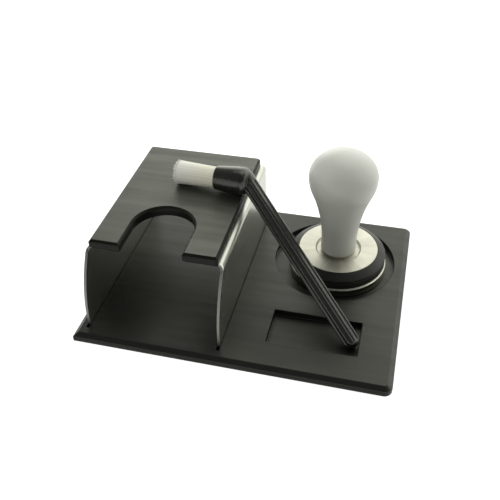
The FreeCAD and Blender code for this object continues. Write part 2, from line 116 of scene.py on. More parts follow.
# The box of a turned piece, with its middle and its radius
def turnedBox(node):
    low, high = boxOf(node)
    return low, high, (low + high) / 2, (high[0] - low[0]) / 2


# Even angles once round
def fullTurn(steps):
    return np.arange(steps) * 2 * math.pi / steps


# A corner of a line, and unit vectors from it towards the corners before and after it
def cornerSides(corners, index):
    corner = corners[index, :2]
    before = corners[index - 1, :2] - corner
    after = corners[(index + 1) % len(corners), :2] - corner
    return corner, before / np.linalg.norm(before), after / np.linalg.norm(after)


# A polyline through corners (a, b, radius): each corner with a radius becomes an arc that touches
# both of its sides, walked by turning the radius from one touching point to the other
def roundedLine(corners, closed=False, steps=5):
    corners = np.array(corners, float)
    pieces = []
    last = len(corners) - 1
    for index, (a, b, radius) in enumerate(corners):
        if radius <= 0 or (not closed and index in (0, last)):
            pieces.append(np.array([[a, b]]))
            continue
        corner, before, after = cornerSides(corners, index)
        half = math.acos(np.clip(before @ after, -1, 1)) / 2
        middle = (before + after) / np.linalg.norm(before + after)
        centre = corner + middle * radius / math.sin(half)
        first = (corner + before * radius / math.tan(half) - centre) / radius
        final = (corner + after * radius / math.tan(half) - centre) / radius
        sweep = math.pi - 2 * half
        share = np.linspace(0, 1, steps + 1)[:, None]
        pieces.append(centre + radius * (np.sin((1 - share) * sweep) * first
                                         + np.sin(share * sweep) * final) / math.sin(sweep))
    return np.concatenate(pieces)


# Rows of points, joined by quads; a wrapped direction also joins its last line to its first
def gridPatch(points, wrapRows=False, wrapColumns=False):
    rows, columns = points.shape[:2]
    row = np.arange(rows if wrapRows else rows - 1)[:, None]
    column = np.arange(columns if wrapColumns else columns - 1)[None]
    nextRow, nextColumn = (row + 1) % rows, (column + 1) % columns
    quads = np.stack([row * columns + column, row * columns + nextColumn,
                      nextRow * columns + nextColumn, nextRow * columns + column], axis=-1)
    return points.reshape(-1, 3), quads.reshape(-1, 4).tolist()


# A flat region between an outer loop and the holes in it
def flatPatch(loops):
    triangles = tessellate_polygon([[Vector(point) for point in loop] for loop in loops])
    return np.concatenate(loops), [list(triangle) for triangle in triangles]


def smoothMesh(mesh, sharpAngle):
    mesh.polygons.foreach_set("use_smooth", np.ones(len(mesh.polygons), bool))
    mesh.set_sharp_from_angle(angle=math.radians(sharpAngle))


# One object from several patches, welded where their borders meet, with its sharp edges kept
def weldPiece(name, patches, sharpAngle=35, weldWithin=2e-6):
    points, faces, offset = [], [], 0
    for patchPoints, patchFaces in patches:
        points.append(patchPoints)
        faces += [[corner + offset for corner in face] for face in patchFaces]
        offset += len(patchPoints)
    mesh = bpy.data.meshes.new(name)
    mesh.from_pydata(np.concatenate(points).tolist(), [], faces)
    shell = bmesh.new()
    shell.from_mesh(mesh)
    bmesh.ops.remove_doubles(shell, verts=shell.verts, dist=weldWithin)
    bmesh.ops.dissolve_degenerate(shell, edges=shell.edges, dist=weldWithin)
    bmesh.ops.recalc_face_normals(shell, faces=shell.faces)
    openEdges = sum(1 for edge in shell.edges if not edge.is_manifold)
    shell.to_mesh(mesh)
    shell.free()
    smoothMesh(mesh, sharpAngle)
    print(name, len(mesh.polygons), "faces,", openEdges, "open edges")
    return linkObject(name, mesh)


# Hands the piece to the frame: it rides on the one body and stands for the CAD node it copies
def seatPiece(piece, node, material):
    piece.data.materials.clear()
    piece.data.materials.append(material)
    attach(piece, "root")
    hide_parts(node)


# The three parts of each face's normal or centre, a row for each face
def faceRows(piece, what):
    rows = np.empty(len(piece.data.polygons) * 3)
    piece.data.polygons.foreach_get(what, rows)
    return rows.reshape(-1, 3)


# Gives the chosen faces the piece's second material
def addSecondMaterial(piece, material, chosen):
    piece.data.materials.append(material)
    piece.data.polygons.foreach_set("material_index", chosen.astype(np.int32))


# Loops for a rectangle with rounded corners, grown outwards by each value of grow and set at
# the height beside it; a corner's radius grows with the loop and its centre stays
def rectangleLoops(low, high, radius, profile, steps=6):
    angle = np.linspace(0, math.pi / 2, steps + 1)
    loops = []
    for grow, height in profile:
        rounding = max(radius + grow, 0)
        inner = radius if rounding > 0 else -grow
        centres = [(high[0] - inner, high[1] - inner), (low[0] + inner, high[1] - inner),
                   (low[0] + inner, low[1] + inner), (high[0] - inner, low[1] + inner)]
        loops.append(np.concatenate([
            np.stack([x + rounding * np.cos(angle + turn * math.pi / 2),
                      y + rounding * np.sin(angle + turn * math.pi / 2),
                      np.full(steps + 1, height)], axis=-1) for turn, (x, y) in enumerate(centres)]))
    return np.array(loops)


# Rings about a vertical axis, one for each row (radius, height) of a profile
def turnedRings(centre, profile, segments):
    angle = fullTurn(segments)
    return np.stack([centre[0] + profile[:, :1] * np.cos(angle),
                     centre[1] + profile[:, :1] * np.sin(angle), profile[:, 1:] + 0 * angle], axis=-1)


# A slab's plan, sharp-cornered on the left and round-cornered on the right, as outline points
# with inset vectors: a round corner's point moves towards the arc's centre, and a sharp square
# corner's along both of its sides
def slabOutline(low, high, radius, steps=10):
    corners = np.array([(low[0], low[1], 0), (high[0], low[1], radius),
                        (high[0], high[1], radius), (low[0], high[1], 0)], float)
    points, insets = [], []
    for index in range(len(corners)):
        corner, before, after = cornerSides(corners, index)
        if corners[index, 2] == 0:
            points.append(corner[None])
            insets.append((before + after)[None])
            continue
        angle = np.linspace(0, math.pi / 2, steps + 1)[:, None]
        outward = -(np.cos(angle) * after + np.sin(angle) * before)
        points.append(corner + (before + after) * radius + radius * outward)
        insets.append(-outward)
    return np.concatenate(points), np.concatenate(insets)


# The outer rim of a slab: plan points move inwards along their own inset vectors while the
# profile (inset, height) climbs from the underside to the top face
def rimLoops(points, insets, profile):
    return np.array([np.column_stack([points + inset * insets, np.full(len(points), height)])
                     for inset, height in profile])


# The rim's profile from the underside's edge, up the side and over the bevel to the top
def bevelProfile(bottom, top, sizes):
    rounding = sizes["edgeRound"]
    return roundedLine([(rounding, bottom, 0), (0, bottom, rounding),
                        (0, top - sizes["bevelHeight"], rounding * 2),
                        (sizes["bevelWidth"], top, rounding * 2),
                        (sizes["bevelWidth"] + 3 * rounding, top, 0)], steps=4)


def turnPiece(name, centre, profile, closed, segments=128):
    rings = turnedRings(centre, profile, segments)
    return weldPiece(name, [gridPatch(rings, wrapRows=closed, wrapColumns=True)])


# Material tools that several pieces use

# Joins a socket to another node's output, or sets it where the value is plain
def feed(tree, socket, value):
    if isinstance(value, bpy.types.NodeSocket):
        tree.links.new(value, socket)
    else:
        socket.default_value = (*value, 1) if socket.type == "RGBA" else value


# A material's node tree with its shader's plain values set, ready for more nodes
def startMaterial(name, shaderValues):
    material = bpy.data.materials.new(name)
    material.use_nodes = True
    tree = material.node_tree
    shader = tree.nodes["Principled BSDF"]
    for socket, value in shaderValues.items():
        feed(tree, shader.inputs[socket], value)
    return material, tree, shader


def addNode(tree, kind, settings=None, **inputs):
    node = tree.nodes.new("ShaderNode" + kind)
    for key, value in (settings or {}).items():
        setattr(node, key, value)
    for key, value in inputs.items():
        feed(tree, node.inputs[key], value)
    return node


# Noise on the piece's own coordinates, stretched by scale, as a value from 0 to 1
def noiseValue(tree, scale, detail=3, stretch=(1, 1, 1)):
    place = addNode(tree, "TexCoord").outputs["Object"]
    mapping = addNode(tree, "Mapping", Vector=place, Scale=[part * scale for part in stretch])
    return addNode(tree, "TexNoise", Vector=mapping.outputs["Vector"], Scale=1.0, Detail=detail,
                   Roughness=0.5).outputs["Fac"]


# Turns a value's middle span into a range between two numbers
def rangeOf(tree, value, low, high, span=(0.3, 0.7)):
    ramp = addNode(tree, "MapRange", {"clamp": True}, Value=value)
    for key, number in (("From Min", span[0]), ("From Max", span[1]), ("To Min", low), ("To Max", high)):
        ramp.inputs[key].default_value = number
    return ramp.outputs["Result"]


def blendColours(tree, share, first, second, mode="MIX"):
    blend = addNode(tree, "Mix", {"data_type": "RGBA", "blend_type": mode})
    for socket, value in ((0, share), (6, first), (7, second)):
        feed(tree, blend.inputs[socket], value)
    return blend.outputs[2]


def blendValues(tree, share, first, second):
    blend = addNode(tree, "Mix", {"data_type": "FLOAT"})
    for socket, value in ((0, share), (2, first), (3, second)):
        feed(tree, blend.inputs[socket], value)
    return blend.outputs[0]


def mathOf(tree, operation, *values):
    node = addNode(tree, "Math", {"operation": operation})
    for socket, value in zip(node.inputs, values):
        feed(tree, socket, value)
    return node.outputs[0]


# The shader's colour and roughness follow one value
def finishBy(tree, shader, value, dark, light, rough):
    feed(tree, shader.inputs["Base Color"], blendColours(tree, value, dark, light))
    feed(tree, shader.inputs["Roughness"], rangeOf(tree, value, *rough))


# A bump of the given (height, strength), on top of the one before it
def addBump(tree, shader, value, bump, before=None):
    height, strength = bump
    node = addNode(tree, "Bump", Height=value, Distance=height, Strength=strength)
    if before:
        feed(tree, node.inputs["Normal"], before)
    feed(tree, shader.inputs["Normal"], node.outputs["Normal"])
    return node.outputs["Normal"]


def liftedColours(look, lift):
    return ([part * lift for part in look[key]] for key in ("dark", "light"))


rubberLook = {
    "dark": (0.007, 0.0075, 0.006),
    "light": (0.0135, 0.0145, 0.012),
    "cloudScale": 28,        # soft cloudy patches, per metre
    "streakScale": 170,      # faint lines along the sheet
    "streakStretch": (0.06, 1, 1),
    "streakShare": 0.55,
    "span": (0.38, 0.62),
    "rough": (0.46, 0.32),   # the lighter the rubber, the smoother
    "grainScale": 2600,
    "grainBump": (0.05 * mm, 0.5),
    "waveStrength": 0.6,
    "sheenTint": (0.98, 1.0, 0.91),
    "side": {"shine": 0.14, "lift": 1.0, "rougher": 0.0},    # the cut sides are duller; their plain lift also makes the pad's sides a darker copy of its top, a painted shade
    # the pad's top is the mat's rubber painted about three times lighter: painted light for the sheen it
    # catches from the back
    "pad": {"steep": 0.85, "shine": 0.98, "lift": 3.2, "rougher": 0.07, "wave": 0.08 * mm},
    "mat": {"steep": 0.3, "shine": 0.5, "lift": 1.0, "rougher": 0.0, "wave": 0.35 * mm},
}


def rubberMaterial(name, shine, lift, rougher, wave):
    look = rubberLook
    material, tree, shader = startMaterial(
        name, {"Specular IOR Level": shine, "Specular Tint": look["sheenTint"]})
    cloud = noiseValue(tree, look["cloudScale"], detail=4)
    streak = noiseValue(tree, look["streakScale"], detail=2, stretch=look["streakStretch"])
    mixed = blendValues(tree, look["streakShare"], cloud, streak)
    dark, light = liftedColours(look, lift)
    shade = rangeOf(tree, mixed, 0, 1, look["span"])
    feed(tree, shader.inputs["Base Color"], blendColours(tree, shade, dark, light))
    dull, smooth = look["rough"]
    feed(tree, shader.inputs["Roughness"],
         rangeOf(tree, mixed, dull + rougher, smooth + rougher, look["span"]))
    grain = noiseValue(tree, look["grainScale"], detail=2)
    first = addBump(tree, shader, grain, look["grainBump"])
    addBump(tree, shader, mixed, (wave, look["waveStrength"]), first)
    return material


# The face takes the satin rubber, and what is steeper than the given upward share the dull one, which on
# the pad is also a darker copy: painted shade
def dressRubber(piece, node, name, steep, **finish):
    seatPiece(piece, node, rubberMaterial(name + "Face", **finish))
    side = rubberMaterial(name + "Side", **{**finish, **rubberLook["side"]})
    addSecondMaterial(piece, side, np.abs(faceRows(piece, "normal")[:, 2]) < steep)


padSizes = {
    "corner": 2 * mm,
    "bevelWidth": 1.2 * mm,
    "bevelHeight": 1.2 * mm,
    "edgeRound": 0.2 * mm,
    "slotRadius": 18.15 * mm,
    "slotStraight": 19.85 * mm,
    "slotShift": -0.95 * mm,     # from the pad's middle
    "slotLip": 0.6 * mm,         # how far the slot's bevelled lip stands into it
    "slotBevel": 1.1 * mm,
    "slotSteps": 48,
}


# The pad's outline runs round the outer edges and through the slot. Every point moves inwards
# along its own vector while the rim climbs over the bevel: on the slot that is away from its axis.
def makePad():
    sizes = padSizes
    low, high = boxOf("stand_pad")
    middle = (low[0] + high[0]) / 2 + sizes["slotShift"]
    turn = low[1] + sizes["slotStraight"]
    outline, insets = slabOutline(low, high, sizes["corner"])
    radius, share = sizes["slotRadius"] - sizes["slotLip"], sizes["slotBevel"] / sizes["bevelWidth"]
    angle = np.linspace(math.pi, 0, sizes["slotSteps"] + 1)
    spoke = np.column_stack([np.cos(angle), np.sin(angle)])
    spoke = np.concatenate([spoke[:1], spoke, spoke[-1:]])
    slot = np.array([[middle, turn]]) + radius * spoke
    slot[[0, -1], 1] = low[1]
    slotInsets = share * spoke
    slotInsets[[0, -1], 1] = 1
    outline = np.concatenate([outline[:1], slot, outline[1:]])
    insets = np.concatenate([insets[:1], slotInsets, insets[1:]])
    rim = rimLoops(outline, insets, bevelProfile(low[2], high[2], sizes))
    pad = weldPiece("rubberPad", [gridPatch(rim, wrapColumns=True), flatPatch([rim[0]]),
                                  flatPatch([rim[-1]])], sharpAngle=40)
    dressRubber(pad, "stand_pad", "pad_rubber", **rubberLook["pad"])


makePad()


bracketSizes = {
    "sheet": 1.5 * mm,
    "bend": 3 * mm,
    "footReach": 15.15 * mm,     # how far the front edge runs back from the foot to the top
    "footStraight": 2.8 * mm,
    "slotMargin": 0.15 * mm,
    "edgeRound": 0.12 * mm,
    "edgeSegments": 2,
    "edgeAngle": 50,
    "wallRows": 25,
    "foldRows": 13,
    "topRows": 6,
    "aheadColumns": 9,       # ahead of the slot's round end
    "behindColumns": 17,
    "slotColumns": 41,
}

brushedSteelLook = {
    "dark": (0.40, 0.405, 0.365),
    "light": (0.49, 0.495, 0.455),
    "rough": (0.26, 0.38),
    "brushScale": 3200,
    "brushStretch": (1, 0.012, 1),
    "brushBump": (0.01 * mm, 0.4),
    "slowScale": 45,
    "slowShare": 0.6,
    "shadedTopEdgeColour": (0.022, 0.022, 0.020),    # painted shade: the top sheet's cut edges, near black as they lie in shadow under the pad
    "wallEdge": (0.25, 0.25, 0.235),     # the walls' upright cut ends
    "cutEdgeRough": 0.6,
    "topDepth": 1.1,         # how deep below the top an edge is the top sheet's, in sheets
    "edgeSlope": 0.8,        # an edge's normal has less than this of up or down
    "endSlope": 0.4,         # a wall's end has its normal this near to straight ahead or back
}


# Satin sheet: fine lines along the sheet's length, and slow changes of sheen. The cut edges
# face forwards or sideways: those of the top sheet lie in its thickness, between the two
# folds, and are painted near black as shade under the pad; those of the walls face along
# the sheet.
def brushedSteelMaterial(low, high):
    look, sizes = brushedSteelLook, bracketSizes
    material, tree, shader = startMaterial("bracketSteel", {"Metallic": 1.0})
    lines = noiseValue(tree, look["brushScale"], stretch=look["brushStretch"])
    mixed = blendValues(tree, look["slowShare"], lines, noiseValue(tree, look["slowScale"]))
    place = addNode(tree, "SeparateXYZ", Vector=addNode(tree, "TexCoord").outputs["Object"])
    facing = addNode(tree, "SeparateXYZ", Vector=addNode(tree, "NewGeometry").outputs["True Normal"])

    def near(parts, axis, centre, reach):
        return mathOf(tree, "COMPARE", parts.outputs[axis], centre, reach)

    middle = (low[0] + high[0]) / 2
    inTop = mathOf(tree, "MULTIPLY", near(place, "X", middle, middle - low[0] - sizes["bend"]),
                   near(place, "Z", high[2], sizes["sheet"] * look["topDepth"]))
    # painted shade: the top sheet's cut edges take a near-black colour in place of the pad's shadow on them
    shadedTopEdge = mathOf(tree, "MULTIPLY", inTop, near(facing, "Z", 0, look["edgeSlope"]))
    wallEnd = mathOf(tree, "ADD", near(facing, "Y", -1, look["endSlope"]),
                     near(facing, "Y", 1, look["endSlope"]))
    edge = mathOf(tree, "MAXIMUM", shadedTopEdge, wallEnd)
    edgeColourAndShade = blendColours(tree, shadedTopEdge, look["wallEdge"], look["shadedTopEdgeColour"])
    satin = blendColours(tree, lines, look["dark"], look["light"])
    sheen = rangeOf(tree, mixed, *look["rough"])
    feed(tree, shader.inputs["Base Color"], blendColours(tree, edge, satin, edgeColourAndShade))
    feed(tree, shader.inputs["Roughness"], blendValues(tree, edge, sheen, look["cutEdgeRough"]))
    addBump(tree, shader, lines, look["brushBump"])
    return material


# The outer skin is a grid: one way round the fold, and the other from the front edge to the
# back. On a wall the front edge is a circle's arc that is upright at the foot. Behind the slot
# the rows start on the slot's round end.
def makeBracket():
    sizes = bracketSizes
    low, high = boxOf("stand_bracket")
    padLow, padHigh = boxOf("stand_pad")
    bend, top = sizes["bend"], high[2]
    curveStart = boxOf("base_mat")[1][2] + sizes["footStraight"]
    rise = top - curveStart
    curveRadius = (sizes["footReach"] ** 2 + rise ** 2) / (2 * sizes["footReach"])
    slotMiddle = (padLow[0] + padHigh[0]) / 2 + padSizes["slotShift"]
    slotRadius = padSizes["slotRadius"] + sizes["slotMargin"]
    turn = padLow[1] + padSizes["slotStraight"]
    climb = np.concatenate([[low[2]], np.linspace(curveStart, top - bend, sizes["wallRows"])])
    fold = np.linspace(0, math.pi / 2, sizes["foldRows"])[1:]
    ahead = np.linspace(0, 1, sizes["aheadColumns"])[None, :-1]
    behind = np.linspace(0, 1, sizes["behindColumns"])

    def spread(x, y, z):
        return np.stack([np.broadcast_to(x[:, None], y.shape), y, np.broadcast_to(z[:, None], y.shape)],
                        axis=-1)

    def side(edge, slotEdge):
        inward = 1 if slotEdge > edge else -1
        run = np.linspace(edge + inward * bend, slotEdge, sizes["topRows"])[1:]
        x = np.concatenate([np.full(len(climb), edge), edge + inward * bend * (1 - np.cos(fold)), run])
        z = np.concatenate([climb, top - bend + bend * np.sin(fold), np.full(len(run), top)])
        above = np.clip(z - curveStart, 0, rise)
        front = low[1] + curveRadius - np.sqrt(curveRadius ** 2 - above ** 2)
        y = np.concatenate([front[:, None] + (turn - front)[:, None] * ahead,
                            np.repeat((turn + (high[1] - turn) * behind)[None], len(x), axis=0)], axis=1)
        return spread(x, y, z)

    angle = np.linspace(math.pi, 0, sizes["slotColumns"])
    arcX, arcY = slotMiddle + slotRadius * np.cos(angle), turn + slotRadius * np.sin(angle)
    plate = spread(arcX, arcY[:, None] + (high[1] - arcY)[:, None] * behind, np.full(len(angle), top))
    left = side(low[0], slotMiddle - slotRadius)
    right = side(high[0], slotMiddle + slotRadius)
    bracket = weldPiece("foldedBracket", [gridPatch(left), gridPatch(plate), gridPatch(right[::-1])])
    if sum(face.normal.z * face.area for face in bracket.data.polygons) < 0:
        bracket.data.flip_normals()
    thick = bracket.modifiers.new("sheet", "SOLIDIFY")
    thick.thickness = sizes["sheet"]
    thick.offset = -1
    thick.use_even_offset = True
    soften = bracket.modifiers.new("brokenEdges", "BEVEL")
    soften.width = sizes["edgeRound"]
    soften.segments = sizes["edgeSegments"]
    soften.angle_limit = math.radians(sizes["edgeAngle"])
    seatPiece(bracket, "stand_bracket", brushedSteelMaterial(low, high))


makeBracket()


matSizes = {
    "corner": 4.5 * mm,
    "bevelWidth": 2.7 * mm,
    "bevelHeight": 1.8 * mm,
    "edgeRound": 0.3 * mm,
    "recess": (44 * mm, 26 * mm),
    "recessRadius": 36.3 * mm,
    "recessSegments": 144,
    "trayLength": 49.6 * mm,
    "trayWidth": 25 * mm,
    "trayShift": 2.05 * mm,      # from the middle of the brush's end
    "trayCorner": 0.6 * mm,
    "tipGap": 0.1 * mm,
    "gripRadius": 4.8 * mm,      # the brush's end, which lies in the tray
    "grooveGap": 0.15 * mm,
    "grooveRun": 3 * mm,
    "grooveRound": 0.1 * mm,
}


# A recess's profile from the top face down its wall to its floor
def recessProfile(top, floor, rounding):
    return roundedLine([(2 * rounding, top, 0), (0, top, rounding), (0, floor, rounding),
                        (-2 * rounding, floor, 0)], steps=4)


# The mat's top is flat between its rim and its four hollows, each a stack of loops from the top
# face down to its own floor
def makeMat():
    sizes = matSizes
    low, high = boxOf("base_mat")
    brushLow, brushHigh = boxOf("brush_handle")
    bracketLow, bracketHigh = boxOf("stand_bracket")
    top, floor = high[2], boxOf("tamper_base")[0][2]
    outline, insets = slabOutline(low, high, sizes["corner"])
    rim = rimLoops(outline, insets, bevelProfile(low[2], top, sizes))
    profile = recessProfile(top, floor, sizes["edgeRound"])
    trayRight = brushHigh[0] + sizes["tipGap"]
    trayMiddle = brushLow[1] + sizes["gripRadius"] + sizes["trayShift"]
    recess = turnedRings(sizes["recess"], profile + (sizes["recessRadius"], 0), sizes["recessSegments"])
    hollows = [recess,
               rectangleLoops((trayRight - sizes["trayLength"], trayMiddle - sizes["trayWidth"] / 2),
                              (trayRight, trayMiddle + sizes["trayWidth"] / 2), sizes["trayCorner"],
                              profile)]
    gap, run, small = sizes["grooveGap"], sizes["grooveRun"], sizes["grooveRound"]
    sheet = bracketSizes["sheet"]
    for left in (bracketLow[0], bracketHigh[0] - sheet):
        hollows.append(rectangleLoops((left - gap, bracketLow[1] - run),
                                      (left + sheet + gap, bracketHigh[1] + run), small,
                                      [(small, top), (0, top - small), (0, bracketLow[2])], steps=2))
    patches = [gridPatch(rim, wrapColumns=True), flatPatch([rim[0]]),
               flatPatch([rim[-1]] + [hollow[0] for hollow in hollows])]
    for hollow in hollows:
        patches += [gridPatch(hollow, wrapColumns=True), flatPatch([hollow[-1]])]
    mat = weldPiece("rubberMat", patches, sharpAngle=40)
    dressRubber(mat, "base_mat", "mat_rubber", **rubberLook["mat"])


makeMat()


tamperSizes = {
    "discChamfer": 0.7 * mm,
    "capRadius": 23.5 * mm,
    "capRound": 0.25 * mm,
    "dishRadius": 13.7 * mm,
    "dishDepth": 1.4 * mm,
    "dishSlope": 1 * mm,
    "footRadius": 10.4 * mm,
    "footHeight": 5.5 * mm,
    "footRound": 0.7 * mm,
    "bulbRound": 24 * mm,
    "bulbLevel": 50.7 * mm,
    "shoulderRound": 13 * mm,
    "arcSteps": (40, 30, 24, 24),    # neck, lower bulb, shoulder and crown
    "studRadius": 4 * mm,
    "studGap": 0.1 * mm,
    "studInBase": 9 * mm,
    "studInHandle": 20 * mm,
    "ringWall": 5.9 * mm,
    "ringGap": 0.1 * mm,
    "ringLand": 0.4 * mm,
    "ringGroove": 0.7 * mm,
    "ringGrooveLevel": 4.5 * mm,
    "ringRound": 0.5 * mm,
    "ringCorner": 0.2 * mm,
    "ringGrooveRound": 0.15 * mm,
}

tamperSteelLook = {
    "dark": (0.50, 0.49, 0.43),
    "light": (0.58, 0.57, 0.50),
    "faceRough": (0.42, 0.54),
    "sideRough": (0.10, 0.16),   # the disc's side is polished
    "sideSlope": 0.3,
    "ringsPerMetre": 900,
    "ringWander": 0.6,
    "ringBump": (0.006 * mm, 0.6),
    "sheenSectorCount": 5,        # painted sheen: lighter and darker sectors in place of the reflections a turned face shows
    "sheenSectorSpan": (0.35, 0.65),
    "slowScale": 120,
    "grainScale": 1500,
    "grainBump": (0.03 * mm, 0.6),
}


# Turned steel: rings about the axis as fine waves of the distance from it, and a painted sheen
# of soft lighter and darker sectors as noise of the direction from it
def turnedSteelMaterial(name, centre, rough):
    look = tamperSteelLook
    material, tree, shader = startMaterial(name, {"Metallic": 1.0})
    centred = addNode(tree, "Mapping", Vector=addNode(tree, "TexCoord").outputs["Object"],
                      Location=(-centre[0], -centre[1], 0)).outputs["Vector"]
    rings = addNode(tree, "TexWave", {"wave_type": "RINGS", "rings_direction": "Z"}, Vector=centred,
                    Scale=look["ringsPerMetre"], Distortion=look["ringWander"], Detail=2.0)
    flat = addNode(tree, "VectorMath", {"operation": "MULTIPLY"})
    feed(tree, flat.inputs[0], centred)
    feed(tree, flat.inputs[1], (1, 1, 0))
    direction = addNode(tree, "VectorMath", {"operation": "NORMALIZE"})
    feed(tree, direction.inputs[0], flat.outputs["Vector"])
    # painted sheen: these sectors lighten and darken the colour in place of the turned face's reflections
    sectors = addNode(tree, "TexNoise", Vector=direction.outputs["Vector"], Scale=look["sheenSectorCount"],
                      Detail=5.0, Roughness=0.6)
    shade = rangeOf(tree, sectors.outputs["Fac"], 0, 1, look["sheenSectorSpan"])
    feed(tree, shader.inputs["Base Color"], blendColours(tree, shade, look["dark"], look["light"]))
    feed(tree, shader.inputs["Roughness"], rangeOf(tree, noiseValue(tree, look["slowScale"]), *rough))
    first = addBump(tree, shader, noiseValue(tree, look["grainScale"]), look["grainBump"])
    addBump(tree, shader, rings.outputs["Fac"], look["ringBump"], first)
    return material


# Disc and spigot in one, with a dish turned round the handle's foot and a hole for the stud
def makeTamperBase():
    sizes, look = tamperSizes, tamperSteelLook
    low, high, centre, radius = turnedBox("tamper_base")
    shoulder = boxOf("tamper_ring")[0][2]
    chamfer, small = sizes["discChamfer"], sizes["capRound"]
    dishFloor = high[2] - sizes["dishDepth"]
    hole = sizes["studRadius"] + sizes["studGap"]
    holeFloor = high[2] - sizes["studInBase"]
    profile = roundedLine([
        (0, low[2], 0),
        (radius - chamfer, low[2], small),
        (radius, low[2] + chamfer, small),
        (radius, shoulder - chamfer, small),
        (radius - chamfer, shoulder, small),
        (sizes["capRadius"], shoulder, 0),
        (sizes["capRadius"], high[2], small),
        (sizes["dishRadius"], high[2], small),
        (sizes["dishRadius"] - sizes["dishSlope"], dishFloor, small),
        (sizes["footRadius"] - small, dishFloor, 0),
        (sizes["footRadius"] - small, high[2], 0),
        (hole, high[2], 0),
        (hole, holeFloor, 0),
        (0, holeFloor, 0)], steps=4)
    base = turnPiece("tamperBase", centre, profile, closed=False)
    seatPiece(base, "tamper_base",
              turnedSteelMaterial("tamperSteel", centre, look["faceRough"]))
    upright = np.abs(faceRows(base, "normal")[:, 2]) < look["sideSlope"]
    addSecondMaterial(base, turnedSteelMaterial("tamperSteelSide", centre, look["sideRough"]),
                      upright & (faceRows(base, "center")[:, 2] < shoulder))


blackPlasticLook = {
    "dark": (0.009, 0.009, 0.0083),
    "light": (0.016, 0.016, 0.0148),
    "cloudScale": 180,
    "grainScale": 3000,
    "grainBump": (0.02 * mm, 0.4),
    "sheenTint": (0.98, 1.0, 0.91),
    "ring": {"rough": (0.4, 0.52), "lift": 1.0, "shine": 0.4},
    "brush": {"rough": (0.24, 0.28), "lift": 1.4, "shine": 0.7},
}


# Moulded black plastic with a fine grain and faint cloudy lighter patches
def blackPlasticMaterial(name, rough, lift, shine):
    look = blackPlasticLook
    material, tree, shader = startMaterial(
        name, {"Specular IOR Level": shine, "Specular Tint": look["sheenTint"]})
    dark, light = liftedColours(look, lift)
    finishBy(tree, shader, noiseValue(tree, look["cloudScale"], detail=4), dark, light, rough)
    addBump(tree, shader, noiseValue(tree, look["grainScale"], detail=2), look["grainBump"])
    return material


# The ring fits over the spigot, with a V groove in its wall and a slope up to the steel
def makeTamperRing():
    sizes = tamperSizes
    low, high, centre, radius = turnedBox("tamper_ring")
    bore = sizes["capRadius"] + sizes["ringGap"]
    groove, level = sizes["ringGroove"], low[2] + sizes["ringGrooveLevel"]
    corner, small = sizes["ringCorner"], sizes["ringGrooveRound"]
    profile = roundedLine([
        (bore, low[2], 0),
        (radius, low[2], corner),
        (radius, level - groove / 2, small),
        (radius - groove, level, small),
        (radius, level + groove / 2, small),
        (radius, low[2] + sizes["ringWall"], sizes["ringRound"]),
        (bore + sizes["ringLand"], high[2], corner),
        (bore, high[2], 0)], closed=True, steps=4)
    ring = turnPiece("tamperRing", centre, profile, closed=True)
    seatPiece(ring, "tamper_ring",
              blackPlasticMaterial("ringPlastic", **blackPlasticLook["ring"]))


lacquerLook = {
    "dark": (0.70, 0.71, 0.67),
    "light": (0.76, 0.77, 0.73),
    "rough": (0.38, 0.5),
    "cloudScale": 60,
    "peelScale": 900,
    "peelBump": (0.03 * mm, 0.25),
    "coat": 0.25,
    "coatRough": 0.3,
}


# Satin white lacquer with a faint orange-peel skin
def lacquerMaterial():
    look = lacquerLook
    material, tree, shader = startMaterial("handleLacquer", {
        "Specular IOR Level": 0.5, "Coat Weight": look["coat"], "Coat Roughness": look["coatRough"]})
    finishBy(tree, shader, noiseValue(tree, look["cloudScale"]), look["dark"], look["light"], look["rough"])
    addBump(tree, shader, noiseValue(tree, look["peelScale"], detail=2), look["peelBump"])
    return material


# The bulb's outline: a straight foot, then a hollow arc that touches the foot's line and the
# lower bulb arc, the lower bulb arc, the shoulder's arc, and a crown arc about the axis
def handleProfile(radius, height):
    sizes = tamperSizes
    foot, footTop = sizes["footRadius"], sizes["footHeight"]
    bulb, shoulder, level = sizes["bulbRound"], sizes["shoulderRound"], sizes["bulbLevel"]
    bulbX = radius - bulb
    reach, rise = foot - bulbX, level - footTop
    neck = (reach ** 2 + rise ** 2 - bulb ** 2) / (2 * (bulb - reach))
    shoulderX, crownRise = radius - shoulder, height - level
    crown = (shoulderX ** 2 + crownRise ** 2 - shoulder ** 2) / (2 * (crownRise - shoulder))
    neckEnd = math.atan2(rise, reach + neck)      # the way from the neck's centre to the bulb's
    shoulderEnd = math.atan2(level - (height - crown), shoulderX)

    def arc(x, y, size, start, end, steps):
        angle = np.linspace(start, end, steps)[1:]
        return np.column_stack([x + size * np.cos(angle), y + size * np.sin(angle)])

    hole = sizes["studRadius"] + sizes["studGap"]
    neckSteps, bulbSteps, shoulderSteps, crownSteps = sizes["arcSteps"]
    return np.concatenate([
        [(0, sizes["studInHandle"]), (hole, sizes["studInHandle"])],
        roundedLine([(hole, 0, 0), (foot, 0, sizes["footRound"]), (foot, footTop, 0)], steps=6),
        arc(foot + neck, footTop, neck, math.pi, math.pi - neckEnd, neckSteps),
        arc(bulbX, level, bulb, -neckEnd, 0, bulbSteps),
        arc(shoulderX, level, shoulder, 0, shoulderEnd, shoulderSteps),
        arc(0, height - crown, crown, shoulderEnd, math.pi / 2, crownSteps)])


def makeTamperHandle():
    low, high, centre, radius = turnedBox("tamper_handle")
    profile = handleProfile(radius, high[2] - low[2])
    profile[:, 0] = np.maximum(profile[:, 0], 0)
    profile[:, 1] += low[2]
    handle = turnPiece("tamperHandle", centre, profile, closed=False, segments=160)
    seatPiece(handle, "tamper_handle", lacquerMaterial())


makeTamperBase()
makeTamperRing()
makeTamperHandle()


